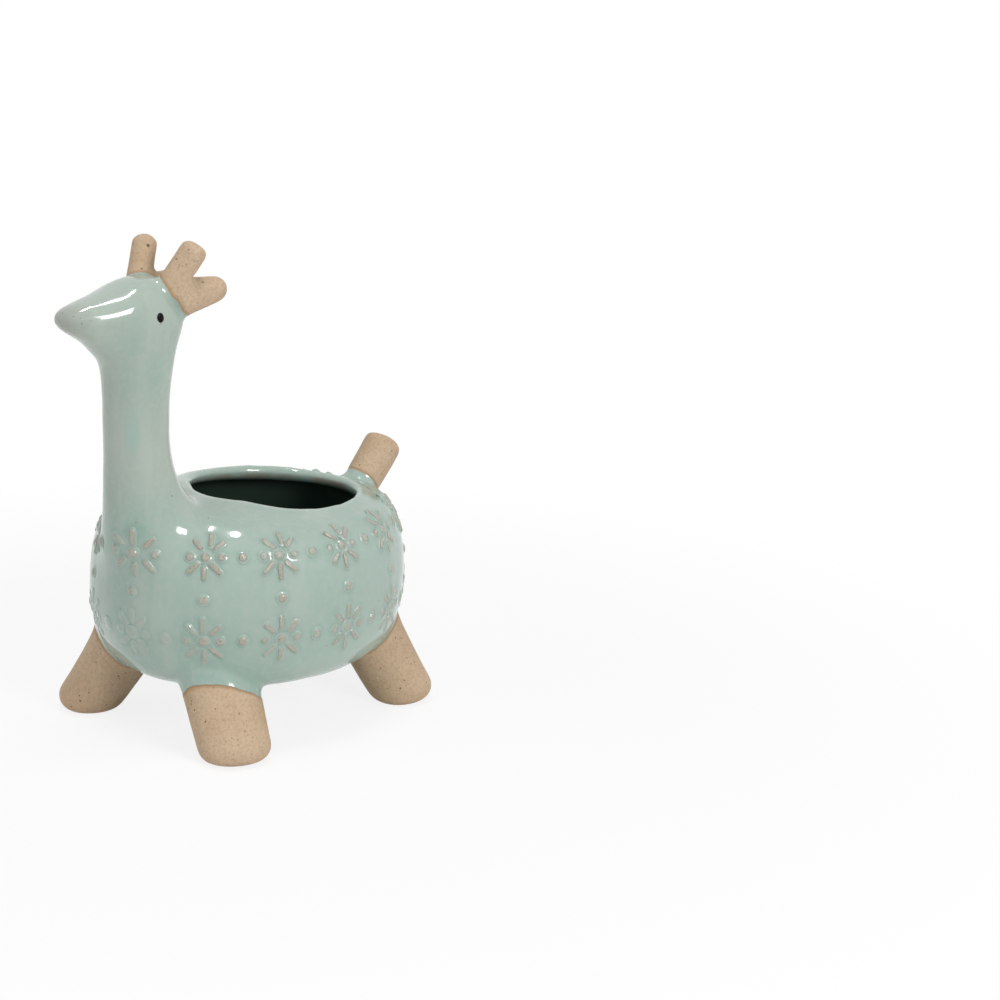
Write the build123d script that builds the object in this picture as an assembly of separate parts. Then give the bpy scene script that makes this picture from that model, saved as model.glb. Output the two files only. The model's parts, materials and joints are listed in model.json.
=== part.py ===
"""Animal-shaped stoneware planter, modelled in millimetres.

A squat glazed bowl stands on four splayed bare-clay legs. A long neck with a small head rises at
its front, a peg tail stands at its rear, and a forked antler leans back on each side of the crown.
Two rows of sprigged flowers, joined by beads, run round the bowl.
+Z is up, the animal looks along -Y, and the origin is on the table under the middle of the part.
"""

import os
from math import cos, hypot, pi, radians, sin

from build123d import *
from OCP.BRepOffsetAPI import BRepOffsetAPI_ThruSections

# Bowl
bowl_length = 132.0
bowl_width = 114.0
bowl_height = 69.0
base_height = 20.5
wall = 5.0
mouth_length = 68.0
mouth_width = 61.0
mouth_shift = 12.0
mouth_tilt = 4.8
rim_round = 2.2
# Height above the underside, half-length and half-width, as shares of the bowl's own sizes
bowl_section_shares = (
    (0.00, 0.58, 0.56),
    (0.04, 0.75, 0.74),
    (0.13, 0.89, 0.885),
    (0.28, 0.97, 0.97),
    (0.48, 1.00, 1.00),
    (0.68, 0.985, 0.985),
    (0.84, 0.93, 0.92),
)
# How far the last free section below the rim has turned in from the shoulder towards the mouth
shoulder_height_share = 0.95
shoulder_turn_share = 0.45
shoulder_drop_share = 0.5

# Neck and head
neck_setback = 8.0
neck_height = 91.0
neck_width = 25.194
head_reach = 36.5
# Throat y and z, nape y and z, half-width: y as shares of the head's reach from the neck's axis,
# z as shares of the neck's height above the rim, widths as shares of half the neck's width;
# smooth sections are added between each two of these
neck_section_shares = (
    (-0.137, -0.368, 0.986, -0.324, 2.46),
    (-0.260, -0.170, 0.822, -0.126, 1.90),
    (-0.301, 0.005, 0.685, 0.016, 1.46),
    (-0.310, 0.159, 0.449, 0.159, 1.13),
    (-0.310, 0.346, 0.356, 0.346, 0.98),
    (-0.323, 0.522, 0.367, 0.533, 1.02),
    (-0.370, 0.637, 0.438, 0.698, 1.13),
    (-0.518, 0.706, 0.526, 0.863, 1.25),
    (-0.655, 0.752, 0.164, 0.997, 1.13),
    (-0.790, 0.786, -0.450, 0.945, 0.84),
    (-0.904, 0.815, -0.780, 0.918, 0.54),
    (-0.936, 0.826, -0.875, 0.906, 0.40),
    (-0.954, 0.8385, -0.922, 0.8967, 0.27),
    (-0.962, 0.853, -0.949, 0.881, 0.127),
)

# Legs
# Places across and along the planter, as shares of half the bowl's width and half its length
leg_root_spread_share = 0.333
leg_root_reach_share = 0.576
front_foot_spread_share = 0.789
rear_foot_spread_share = 0.675
front_foot_reach_share = 0.712
rear_foot_reach_share = 0.780
leg_root_radius = 18.0
leg_radius = 15.0
foot_radius = 13.8
foot_round = 5.5
leg_section_shares = (1.0, 0.58, 0.28, 0.0)
leg_root_height_share = 0.283

# Tail
tail_root_reach_share = 0.818
tail_root_height_share = 0.746
tail_length = 34.0
tail_lean = 42.0
tail_root_radius = 7.3
tail_tip_radius = 7.9
tail_round = 3.0

# Antlers
beam_spread = 15.4
beam_setback = 8.6
beam_root_share = 0.926
beam_length = 21.6
beam_radius = 5.0
beam_round = 2.6
beam_lean = 33.0
beam_splay = 34.0
tine_length = 22.3
tine_root_radius = 6.4
tine_tip_radius = 5.1
tine_round = 4.6
tine_lean = 81.0
tine_splay = 12.0
tine_spread = 16.4
tine_setback = 12.0
tine_root_share = 0.899

# Eyes
eye_radius = 1.8
eye_height = 0.6
eye_level_share = 0.852

# Sprigged flowers and beads
flower_count = 13
flower_start = 6.0
upper_row_share = 0.833
drop_row_share = 0.609
lower_row_share = 0.377
petal_reach = 6.4
petal_length = 6.2
petal_width = 2.8
petal_relief = 0.8
petal_taper = 32.0
petal_angles = (0.0, 45.0, 135.0, 180.0, 225.0, 315.0)
side_dot_angles = (90.0, 270.0)
centre_radius = 2.1
side_dot_radius = 1.65
bead_radius = 2.0
dot_relief = 0.9
sprig_gap = 0.03
tail_clearance = 1.0
half_step_share = 0.5
half_turn_share = 0.5
halvings = 24
trim_share = 0.3
neck_steps = 3

rim_height = base_height + bowl_height
neck_axis = -(bowl_length / 2 - neck_setback)


def section(front, back, half_width):
    """Elliptical cross-section that spans two points of the middle plane."""
    along = back - front
    plane = Plane((front + back) / 2, x_dir=(1, 0, 0), z_dir=Vector(1, 0, 0).cross(along))
    return plane * Ellipse(half_width, along.length / 2)


def bowl_section(height, half_length, half_width, shift, tilt):
    """Cross-section of the bowl, moved back by shift and raised at its front by tilt degrees."""
    centre = Vector(0, shift, height)
    reach = Vector(0, half_length * cos(radians(tilt)), -half_length * sin(radians(tilt)))
    return section(centre - reach, centre + reach, half_width)


def bowl_form(inset):
    """Closed form of the bowl, or of its cavity when inset by the wall."""
    sections = []
    for height_share, length_share, width_share in bowl_section_shares:
        height = base_height + max(height_share * bowl_height, inset)
        half_length = length_share * bowl_length / 2 - inset
        half_width = width_share * bowl_width / 2 - inset
        sections.append((height, half_length, half_width, 0, 0))
    half_length = mouth_length / 2 + wall - inset
    half_width = mouth_width / 2 + wall - inset
    rim = (rim_height, half_length, half_width, mouth_shift, mouth_tilt)
    shoulder = [a + shoulder_turn_share * (b - a) for a, b in zip(sections[-1], rim)]
    shoulder[0] = base_height + shoulder_height_share * bowl_height - inset * shoulder_drop_share
    if inset:
        sections = sections[1:]
    return loft([bowl_section(*s) for s in sections + [shoulder, rim]])


def bowl_shell(form):
    """The bowl, hollowed to its wall and open at the mouth, with a rounded lip."""
    shell = form - bowl_form(wall)
    lip = shell.faces().filter_by(GeomType.PLANE).sort_by(Axis.Z)[-1]
    return fillet(lip.edges(), rim_round)


def oval(front, back, half_width):
    """Oval cross-section in two halves that start and end on the middle plane."""
    along = back - front
    plane = Plane((front + back) / 2, x_dir=(1, 0, 0), z_dir=Vector(1, 0, 0).cross(along))
    halves = []
    for start in (90, 270):
        halves.append(EllipticalCenterArc((0, 0), half_width, along.length / 2, start, arc_size=180))
    return plane * make_face(halves)


def between(before, start, end, after, part):
    """Value on a smooth curve through four even steps, at a part of the way from start to end."""
    bend = 2 * before - 5 * start + 4 * end - after
    twist = 3 * (start - end) + after - before
    return start + part * (end - before + part * (bend + part * twist)) / 2


def smooth_rows(rows, steps):
    """The rows of a table with smooth ones added, so that each step is cut into several."""
    first = [2 * a - b for a, b in zip(rows[0], rows[1])]
    last = [2 * a - b for a, b in zip(rows[-1], rows[-2])]
    ends = (first, *rows, last)
    dense = []
    for four in zip(ends, ends[1:], ends[2:], ends[3:]):
        for step in range(steps):
            dense.append([between(*values, step / steps) for values in zip(*four)])
    return dense + [rows[-1]]


def straight_loft(sections):
    """Solid through sections that are joined start to start, so that it never twists."""
    builder = BRepOffsetAPI_ThruSections(True, False)
    builder.CheckCompatibility(False)
    for drawn in sections:
        builder.AddWire(drawn.face().outer_wire().wrapped)
    builder.Build()
    return Solid(builder.Shape())


def neck_form():
    """The neck and head as one bent form, from inside the bowl to the nose."""
    sections = []
    for front_y, front_z, back_y, back_z, width in smooth_rows(neck_section_shares, neck_steps):
        front = Vector(0, neck_axis + front_y * head_reach, rim_height + front_z * neck_height)
        back = Vector(0, neck_axis + back_y * head_reach, rim_height + back_z * neck_height)
        sections.append(oval(front, back, width * neck_width / 2))
    return straight_loft(sections)


def on_bowl(side, spread_share, end, reach_share, height_share):
    """Place inside the bowl, given by shares of its half-width, half-length and height."""
    across = side * spread_share * bowl_width / 2
    return Vector(across, end * reach_share * bowl_length / 2, base_height + height_share * bowl_height)


def leg(side, end, spread_share, reach_share, bowl):
    """One splayed leg with a flat sole; side is +1 on the left, end is -1 at the front."""
    root = on_bowl(side, leg_root_spread_share, end, leg_root_reach_share, leg_root_height_share)
    foot = on_bowl(side, spread_share, end, reach_share, 0)
    foot.Z = 0
    radii = (leg_root_radius, leg_radius, (leg_radius + foot_radius) / 2, foot_radius)
    sections = []
    for share, radius in zip(leg_section_shares, radii):
        sections.append(Plane(foot + (root - foot) * share) * Circle(radius))
    form = loft(sections)
    sole = form.faces().sort_by(Axis.Z)[0]
    return fillet(sole.edges(), foot_round) - bowl


def peg(root, direction, length, root_radius, tip_radius, rounding):
    """Round tapered peg that starts at root and ends in a rounded tip."""
    base = Plane(root, z_dir=direction)
    form = loft([base * Circle(root_radius), base.offset(length) * Circle(tip_radius)])
    tip = form.faces().filter_by(GeomType.PLANE).sort_by(Axis(root, direction))[-1]
    return fillet(tip.edges(), rounding)


def leaning(lean, splay, side):
    """Direction that leans back from upright by lean degrees and turns out by splay degrees."""
    out = side * sin(radians(splay)) * sin(radians(lean))
    return Vector(out, cos(radians(splay)) * sin(radians(lean)), cos(radians(lean)))


def tail(bowl):
    """Peg tail on the rear shoulder of the bowl."""
    root = on_bowl(0, 0, 1, tail_root_reach_share, tail_root_height_share)
    form = peg(root, leaning(tail_lean, 0, 1), tail_length, tail_root_radius, tail_tip_radius, tail_round)
    return form - bowl


def on_head(side, spread, setback, height_share):
    """Place inside the head, given from the neck's axis and by a share of the neck's height."""
    return Vector(side * spread / 2, neck_axis + setback, rim_height + height_share * neck_height)


def antler(side, head):
    """Upright beam and swept-back tine of one antler, seated on the head."""
    root = on_head(side, beam_spread, beam_setback, beam_root_share)
    up = leaning(beam_lean, beam_splay, side)
    beam = peg(root, up, beam_length, beam_radius, beam_radius, beam_round) - head
    root = on_head(side, tine_spread, tine_setback, tine_root_share)
    back = leaning(tine_lean, tine_splay, side)
    tine = peg(root, back, tine_length, tine_root_radius, tine_tip_radius, tine_round) - head - beam
    return beam, tine


def surface_point(form, origin, direction):
    """Farthest place where a ray leaves a form, with the outward normal there."""
    hits = form.find_intersection_points(Axis(origin, direction))
    return max(hits, key=lambda hit: (hit[0] - origin).dot(direction))


def dome(radius, height):
    """Low round cap on a flat base."""
    sphere_radius = (radius * radius + height * height) / (2 * height)
    ball = Pos(0, 0, height - sphere_radius) * Sphere(sphere_radius)
    return split(ball, Plane.XY, keep=Keep.TOP)


def petal():
    """Short bar with rounded ends and sloping sides, lying along its own Y."""
    outline = Rot(0, 0, 90) * SlotOverall(petal_length, petal_width)
    return extrude(outline, amount=petal_relief, taper=petal_taper)


def eye(side, head):
    """Small glaze dot on one side of the head."""
    origin = on_head(0, 0, 0, eye_level_share)
    point, normal = surface_point(head, origin, Vector(side, 0, 0))
    return Plane(point, z_dir=normal) * dome(eye_radius, eye_height)


def row_angles(offset_share):
    """Angles of evenly spaced places round the bowl, each shifted by a share of one step."""
    steps = 720
    length = 0
    lengths = [length]
    for i in range(steps):
        turn = (i + half_step_share) * 2 * pi / steps
        length += hypot(bowl_width / 2 * cos(turn), bowl_length / 2 * sin(turn)) * 2 * pi / steps
        lengths.append(length)
    places = []
    for n in range(flower_count):
        wanted = (flower_start + (n + offset_share) * length / flower_count) % length
        index = max(i for i in range(steps) if lengths[i] <= wanted)
        rest = (wanted - lengths[index]) / (lengths[index + 1] - lengths[index])
        places.append((index + rest) * 2 * pi / steps)
    return places


def bowl_plane(side, head, angle, height):
    """Tangent plane on the bowl's side, or on the neck where that covers the bowl.

    X runs round the bowl, Y up and Z outward.
    """
    turn = (angle / (2 * pi) + half_turn_share) % 1
    low = 0
    high = 1
    for _ in range(halvings):
        level = (low + high) / 2
        if side.position_at(turn, level).Z < height:
            low = level
        else:
            high = level
    point = side.position_at(turn, low)
    normal = side.normal_at(turn, low)
    if cos(angle) > 0:
        level_out = Vector(normal.X, normal.Y, 0).normalized()
        hits = head.find_intersection_points(Axis(Vector(0, 0, point.Z), level_out))
        hits = [h for h in hits if (h[0] - point).dot(level_out) > 0]
        if hits:
            point, normal = hits[-1]
    return Plane(point + normal * sprig_gap, x_dir=Vector(0, 0, 1).cross(normal), z_dir=normal)


def seat(side, head, angle, height, turn):
    """Plane seated on the bowl at a petal's reach from a flower's centre, turned by degrees."""
    plane = bowl_plane(side, head, angle, height)
    speed = hypot(bowl_width / 2 * cos(angle), bowl_length / 2 * sin(angle))
    rise = petal_reach * cos(radians(turn)) * plane.y_dir.Z
    return bowl_plane(side, head, angle + petal_reach * sin(radians(turn)) / speed, height + rise)


def flower(side, head, angle, height):
    """Centre dot, two side dots and six bar petals, each seated on the bowl."""
    solids = [bowl_plane(side, head, angle, height) * dome(centre_radius, dot_relief)]
    for turn in side_dot_angles:
        solids.append(seat(side, head, angle, height, turn) * dome(side_dot_radius, dot_relief))
    for turn in petal_angles:
        solids.append(seat(side, head, angle, height, turn) * Rot(0, 0, -turn) * petal())
    return solids


def bead(side, head, angle, height):
    """One single bead, seated on the bowl."""
    return [bowl_plane(side, head, angle, height) * dome(bead_radius, dot_relief)]


def trimmed(solids, forms):
    """Sprigs without what lies inside the forms beside them; a sliver that is left is dropped."""
    least = min(solid.volume for solid in solids) * trim_share
    for form in forms:
        solids = [piece for solid in solids for piece in (solid - form).solids()]
    return [solid for solid in solids if solid.volume > least]


def beside(box, place, half_size):
    """True where a sprig of this half-size at a place reaches into a box."""
    low = box.min - place
    high = box.max - place
    return max(low.X, low.Y, low.Z) < half_size and min(high.X, high.Y, high.Z) > -half_size


def clear_of_tail(side, head, angle, height, half_size):
    """True where a sprig of this half-size has room beside the tail's foot."""
    place = bowl_plane(side, head, angle, height).origin
    root = on_bowl(0, 0, 1, tail_root_reach_share, tail_root_height_share)
    axis = Axis(root, leaning(tail_lean, 0, 1))
    along = axis.direction.dot(place - axis.position)
    apart = (place - axis.position - axis.direction * along).length
    return apart > tail_root_radius + half_size + tail_clearance


def row(side, head, neighbours, height, offset_share, make, half_size):
    """The sprigs of one row in order round the bowl, trimmed by neighbours, with a gap at the tail."""
    sprigs = []
    for angle in row_angles(offset_share):
        if clear_of_tail(side, head, angle, height, half_size):
            place = bowl_plane(side, head, angle, height).origin
            forms = [form for box, group in neighbours if beside(box, place, half_size) for form in group]
            sprigs.append(trimmed(make(side, head, angle, height), forms))
    return sprigs


def build_nodes():
    """Every named piece as a list of its solids."""
    bowl = bowl_form(0)
    head = neck_form()
    nodes = {"bowl": [bowl_shell(bowl)], "neck_and_head": [head - bowl]}
    for hand, hand_name in ((1, "left"), (-1, "right")):
        front_leg = leg(hand, -1, front_foot_spread_share, front_foot_reach_share, bowl)
        rear_leg = leg(hand, 1, rear_foot_spread_share, rear_foot_reach_share, bowl)
        nodes["leg_front_" + hand_name] = [front_leg]
        nodes["leg_rear_" + hand_name] = [rear_leg]
        beam, tine = antler(hand, head)
        nodes["antler_beam_" + hand_name] = [beam]
        nodes["antler_tine_" + hand_name] = [tine]
        nodes["eye_" + hand_name] = [eye(hand, head)]
    nodes["tail"] = [tail(bowl)]
    side = bowl.faces().filter_by(GeomType.PLANE, reverse=True)[0]
    legs = [solids[0] for name, solids in nodes.items() if name.startswith("leg_")]
    neighbours = [(form.bounding_box(), [form]) for form in legs] + [(head.bounding_box(), [head, bowl])]
    flower_half = petal_reach + petal_length / 2
    for name, row_share in (("upper", upper_row_share), ("lower", lower_row_share)):
        height = base_height + row_share * bowl_height
        for number, solids in enumerate(row(side, head, neighbours, height, 0, flower, flower_half), 1):
            nodes[f"{name}_flower_{number:02d}"] = solids
        nodes[name + "_beads"] = sum(
            row(side, head, neighbours, height, half_step_share, bead, bead_radius), []
        )
    height = base_height + drop_row_share * bowl_height
    nodes["drop_beads"] = sum(row(side, head, neighbours, height, 0, bead, bead_radius), [])
    return nodes


def main():
    """Build the pieces, centre them over the origin and write one file for each."""
    nodes = build_nodes()
    nose = nodes["neck_and_head"][0].bounding_box().min.Y
    tail_tip = nodes["tail"][0].bounding_box().max.Y
    shift = Pos(0, -(nose + tail_tip) / 2, 0)
    os.makedirs("parts", exist_ok=True)
    for name, solids in nodes.items():
        placed = [shift * s for s in solids]
        export_step(Compound(label=name, children=placed), f"parts/{name}.step")


main()
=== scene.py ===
"""Looks of an animal-shaped stoneware planter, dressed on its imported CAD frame.

The fired form is one skin: the bowl, neck, legs, tail and antlers are fused, their joints are
softened as wet clay is, and the skin is parted where the glaze ends. Sprigged flowers and beads
are pressed on where the CAD has them. Lengths are in metres, unless a name ends in _mm.
"""

from __future__ import annotations

import json
import logging
import math
import random
from dataclasses import dataclass, field
from enum import Enum
from typing import Any

import bpy
import numpy as np
from mathutils import Matrix, Quaternion, Vector
from mathutils.bvhtree import BVHTree

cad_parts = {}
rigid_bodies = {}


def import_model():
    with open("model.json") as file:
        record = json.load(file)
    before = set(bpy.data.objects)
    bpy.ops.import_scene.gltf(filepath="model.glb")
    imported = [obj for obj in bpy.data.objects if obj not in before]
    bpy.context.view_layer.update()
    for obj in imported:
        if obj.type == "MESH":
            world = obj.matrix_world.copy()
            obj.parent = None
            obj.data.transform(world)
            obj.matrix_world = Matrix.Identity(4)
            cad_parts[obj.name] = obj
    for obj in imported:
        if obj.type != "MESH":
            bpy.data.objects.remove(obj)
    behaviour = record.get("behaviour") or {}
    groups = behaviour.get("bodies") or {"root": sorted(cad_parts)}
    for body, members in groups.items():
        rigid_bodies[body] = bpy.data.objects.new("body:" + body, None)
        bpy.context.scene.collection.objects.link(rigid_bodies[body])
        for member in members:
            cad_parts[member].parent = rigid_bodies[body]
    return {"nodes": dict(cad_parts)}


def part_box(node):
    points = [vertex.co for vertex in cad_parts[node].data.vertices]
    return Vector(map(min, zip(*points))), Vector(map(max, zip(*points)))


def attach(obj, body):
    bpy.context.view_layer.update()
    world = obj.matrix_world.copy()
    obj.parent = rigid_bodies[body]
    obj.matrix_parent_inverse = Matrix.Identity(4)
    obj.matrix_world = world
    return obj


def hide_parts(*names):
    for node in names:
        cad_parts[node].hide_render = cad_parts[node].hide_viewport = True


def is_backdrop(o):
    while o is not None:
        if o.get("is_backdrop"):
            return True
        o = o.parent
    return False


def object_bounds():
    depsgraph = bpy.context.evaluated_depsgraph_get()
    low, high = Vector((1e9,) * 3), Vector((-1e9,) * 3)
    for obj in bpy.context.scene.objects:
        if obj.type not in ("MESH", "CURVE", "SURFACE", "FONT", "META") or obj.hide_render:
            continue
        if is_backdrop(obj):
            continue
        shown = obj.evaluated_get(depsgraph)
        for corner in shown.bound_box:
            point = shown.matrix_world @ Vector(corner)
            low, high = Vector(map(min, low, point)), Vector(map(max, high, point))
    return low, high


LOG = logging.getLogger("planter")
MM = 0.001
WELD = 0.005 * MM
Colour = tuple[float, float, float]
Triple = tuple[float, float, float]


class Slot(Enum):
    """Names of four material slots of the record; no piece here takes its finish from them."""

    GLAZE = "glazed_stoneware"
    SPRIG = "sprig_glaze"
    CLAY = "bare_clay"
    EYE = "black_glaze"


class Socket:
    """A shader value that adds its own Math nodes when it is used in an expression."""

    def __init__(self, graph: Graph, socket: bpy.types.NodeSocket | None) -> None:
        """Wrap one output socket of a graph, or none for a node that ends it."""
        self.graph = graph
        self.socket = socket

    def _math(self, operation: str, first: Any, second: Any) -> Socket:
        """Add one Math node.

        Args:
            operation: the Math node's operation.
            first: a value or a number.
            second: a value or a number.

        Returns:
            The node's result.
        """
        return self.graph.node("ShaderNodeMath", {"operation": operation}, {0: first, 1: second})

    def __add__(self, other: Any) -> Socket:
        """Add a value or a number."""
        return self._math("ADD", self, other)

    def __radd__(self, other: Any) -> Socket:
        """Add to a number."""
        return self._math("ADD", other, self)

    def __sub__(self, other: Any) -> Socket:
        """Take away a value or a number."""
        return self._math("SUBTRACT", self, other)

    def __rsub__(self, other: Any) -> Socket:
        """Take this value away from a number."""
        return self._math("SUBTRACT", other, self)

    def __mul__(self, other: Any) -> Socket:
        """Multiply by a value or a number."""
        return self._math("MULTIPLY", self, other)

    def __rmul__(self, other: Any) -> Socket:
        """Multiply a number by this value."""
        return self._math("MULTIPLY", other, self)

    def clamp(self) -> Socket:
        """Keep the value between 0 and 1."""
        return self._math("MINIMUM", self._math("MAXIMUM", self, 0.0), 1.0)


class Graph:
    """The node tree of one material, with the few nodes that these finishes use."""

    def __init__(self, name: str) -> None:
        """Start an empty material.

        Args:
            name: the material's name.
        """
        self.material = bpy.data.materials.new(name)
        self.material.use_nodes = True
        self.tree = self.material.node_tree
        self.tree.nodes.clear()
        self.place = self.node("ShaderNodeTexCoord", {}, {}, "Object")

    def node(
        self,
        kind: str,
        settings: dict[str, Any],
        inputs: dict[Any, Any],
        output: Any = 0,
    ) -> Socket:
        """Add any node.

        Args:
            kind: the node's type.
            settings: attributes that are set before its sockets.
            inputs: values or links of its sockets, by name or index.
            output: name or index of the output to return.

        Returns:
            The chosen output.
        """
        made = self.tree.nodes.new(kind)
        for key, value in settings.items():
            setattr(made, key, value)
        for key, value in inputs.items():
            if isinstance(value, Socket):
                self.tree.links.new(value.socket, made.inputs[key])
            else:
                made.inputs[key].default_value = value
        return Socket(self, None if output is None else made.outputs[output])

    def attribute(self, name: str) -> Socket:
        """Read a number that the mesh carries at its points."""
        return self.node("ShaderNodeAttribute", {"attribute_name": name}, {}, "Fac")

    def noise(self, scale: float, detail: float = 2.0, place: Socket | None = None) -> Socket:
        """Smooth noise around one half.

        Args:
            scale: waves per metre.
            detail: octaves of finer noise.
            place: coordinates, or the object's own.

        Returns:
            The noise.
        """
        inputs = {"Vector": place or self.place, "Scale": scale, "Detail": detail, "Roughness": 0.55}
        return self.node("ShaderNodeTexNoise", {}, inputs, 0)

    def height(self) -> Socket:
        """Height above the floor, in metres."""
        return self.node("ShaderNodeSeparateXYZ", {}, {0: self.place}, 2)

    def stretched(self, scale: tuple[float, float, float]) -> Socket:
        """The object's coordinates, stretched along the axes."""
        return self.node("ShaderNodeVectorMath", {"operation": "MULTIPLY"}, {0: self.place, 1: scale})

    def ramp(self, value: Socket, low: float, high: float) -> Socket:
        """Smooth step from 0 at low to 1 at high."""
        settings = {"interpolation_type": "SMOOTHSTEP"}
        inputs = {"Value": value, "From Min": low, "From Max": high}
        return self.node("ShaderNodeMapRange", settings, inputs)

    def mix(self, factor: Any, first: Any, second: Any) -> Socket:
        """Blend two colours.

        Args:
            factor: share of the second colour.
            first: a colour or a colour value.
            second: a colour or a colour value.

        Returns:
            The blend.
        """
        colours = [c if isinstance(c, Socket) else (*c, 1.0) for c in (first, second)]
        inputs = {0: factor, 6: colours[0], 7: colours[1]}
        return self.node("ShaderNodeMix", {"data_type": "RGBA"}, inputs, 2)

    def specks(self, spacing: float, radius: float, share: float) -> Socket:
        """Scattered round specks.

        Args:
            spacing: distance between possible places, in metres.
            radius: radius of the largest specks, in metres.
            share: share of the places that hold a speck.

        Returns:
            1 inside a speck and 0 elsewhere.
        """
        inputs = {"Vector": self.place, "Scale": 1 / spacing}
        apart = self.node("ShaderNodeTexVoronoi", {}, inputs, "Distance")
        tint = Socket(self, apart.socket.node.outputs["Color"])
        pick = self.node("ShaderNodeSeparateColor", {}, {0: tint}, 0)
        size = self.ramp(pick, 1 - share, 1.0) * (radius / spacing)
        return self.ramp(size - apart, 0.0, 0.3 * radius / spacing)

    def surface(self, colour: Any, roughness: Any, height: Socket | None, **constants: float) -> None:
        """Finish the material.

        Args:
            colour: base colour.
            roughness: roughness.
            height: relief in millimetres, if any.
            constants: numbers set on the shader's own sockets.
        """
        inputs: dict[Any, Any] = {"Base Color": colour, "Roughness": roughness}
        inputs.update({key.replace("_", " "): value for key, value in constants.items()})
        if height is not None:
            bump = {"Height": height, "Distance": MM, "Strength": 1.0}
            inputs["Normal"] = self.node("ShaderNodeBump", {}, bump)
        shader = self.node("ShaderNodeBsdfPrincipled", {}, inputs)
        self.node("ShaderNodeOutputMaterial", {}, {"Surface": shader}, None)


@dataclass(frozen=True)
class Stoneware:
    """Celadon glaze over speckled tan clay, with a bare edge where the glaze stops."""

    glaze: Colour = (0.368, 0.482, 0.422)
    glaze_neck: Colour = (0.405, 0.470, 0.410)
    glaze_thin: Colour = (0.458, 0.520, 0.468)
    glaze_thick: Colour = (0.298, 0.432, 0.370)
    glaze_pool: Colour = (0.215, 0.335, 0.275)
    drip: Colour = (0.290, 0.470, 0.408)
    nose: Colour = (0.330, 0.335, 0.295)
    chest: Colour = (0.245, 0.400, 0.335)
    well: Colour = (0.034, 0.058, 0.044)
    # well: near-black green painted inside the bowl, a painted shade for the dark down in it
    rim_edge: Colour = (0.330, 0.270, 0.205)
    iron: Colour = (0.120, 0.080, 0.055)
    clay: Colour = (0.535, 0.384, 0.248)
    clay_pale: Colour = (0.590, 0.442, 0.302)
    clay_dark: Colour = (0.320, 0.205, 0.122)
    toast: Colour = (0.360, 0.190, 0.085)
    speck: Colour = (0.060, 0.038, 0.026)
    edge_wobble_mm: float = 1.6
    glaze_thickness_mm: float = 0.30
    ior: float = 1.52

    def clay_colour(self, g: Graph, bare: Socket) -> Socket:
        """Warm bare clay with grog and iron specks.

        Args:
            g: the material's graph.
            bare: millimetres past the glaze's edge.

        Returns:
            The colour.
        """
        cloud = g.ramp(g.noise(45.0, 3.0), 0.35, 0.65)
        colour = g.mix(cloud, self.clay, self.clay_pale)
        grain = g.ramp(g.noise(900.0, 3.0), 0.40, 0.70)
        colour = g.mix(grain * 0.32, colour, self.clay_dark)
        colour = g.mix(g.specks(1.15 * MM, 0.42 * MM, 0.55) * 0.52, colour, self.clay_dark)
        colour = g.mix(g.specks(2.0 * MM, 0.50 * MM, 0.32) * 0.75, colour, self.speck)
        colour = g.mix(g.specks(8.5 * MM, 0.85 * MM, 0.18) * 0.85, colour, self.speck)
        toasted = (1.0 - g.ramp(bare, 0.1, 1.6)) * 0.7
        return g.mix(toasted, colour, self.toast)

    def coat(self, g: Graph) -> Socket:
        """Plain celadon coat, greener on the bowl and greyer on the neck, with pale runs.

        Args:
            g: the material's graph.

        Returns:
            The colour.
        """
        cloud = g.ramp(g.noise(22.0, 3.0), 0.35, 0.68)
        upper = g.ramp(g.height(), 75.0 * MM, 110.0 * MM)
        colour = g.mix(upper, self.glaze, self.glaze_neck)
        colour = g.mix(cloud * 0.6, colour, self.glaze_thick)
        runs = g.ramp(g.noise(1.0, 3.0, g.stretched((95.0, 95.0, 14.0))), 0.48, 0.72)
        colour = g.mix(runs * 0.45, colour, self.glaze_thin)
        mottle = g.ramp(g.noise(420.0, 3.0), 0.42, 0.70)
        return g.mix(mottle * 0.30, colour, self.glaze_thin)

    def glaze_colour(self, g: Graph) -> Socket:
        """The coat with green pools in hollows and round sprigs, a drip, a rubbed nose, iron specks, and
        painted shade inside the bowl.

        Args:
            g: the material's graph.

        Returns:
            The colour.
        """
        colour = g.mix(g.ramp(g.attribute("hollow"), 0.10, 0.9) * 0.34, self.coat(g), self.glaze_pool)
        near = 1.0 - g.ramp(g.attribute("sprig_mm"), 0.2, 3.0)
        colour = g.mix(near * g.ramp(g.noise(160.0), 0.3, 0.6) * 0.28, colour, self.glaze_pool)
        drip = g.attribute("drip") + (g.noise(260.0) - 0.5) * 0.35
        colour = g.mix(g.ramp(drip, 0.2, 0.95) * 0.6, colour, self.drip)
        chest = g.attribute("chest") + (g.noise(190.0, 3.0) - 0.5) * 0.9
        colour = g.mix(g.ramp(chest, 0.30, 0.75) * 0.62, colour, self.chest)
        nose = g.attribute("nose")
        colour = g.mix(g.ramp(nose + (g.noise(500.0) - 0.5) * 0.5, 0.2, 0.9) * 0.5, colour, self.nose)
        pits = g.specks(1.7 * MM, 0.45 * MM, 0.6) * g.ramp(nose, 0.35, 0.7)
        colour = g.mix(pits * 0.5, colour, self.iron)
        colour = g.mix(g.specks(5.0 * MM, 0.42 * MM, 0.30) * 0.55, colour, self.iron)
        colour = g.mix(g.specks(13.0 * MM, 0.95 * MM, 0.28) * 0.75, colour, self.iron)
        well = g.attribute("well_mm")
        edge = g.ramp(well, 0.3, 1.2) * g.ramp(g.noise(70.0), 0.42, 0.60)
        colour = g.mix(edge * 0.6, colour, self.rim_edge)
        # Deeper below the lip the glaze turns to the well colour: painted shade inside the bowl
        return g.mix(g.ramp(well, 0.9, 4.2), colour, self.well)

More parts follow.
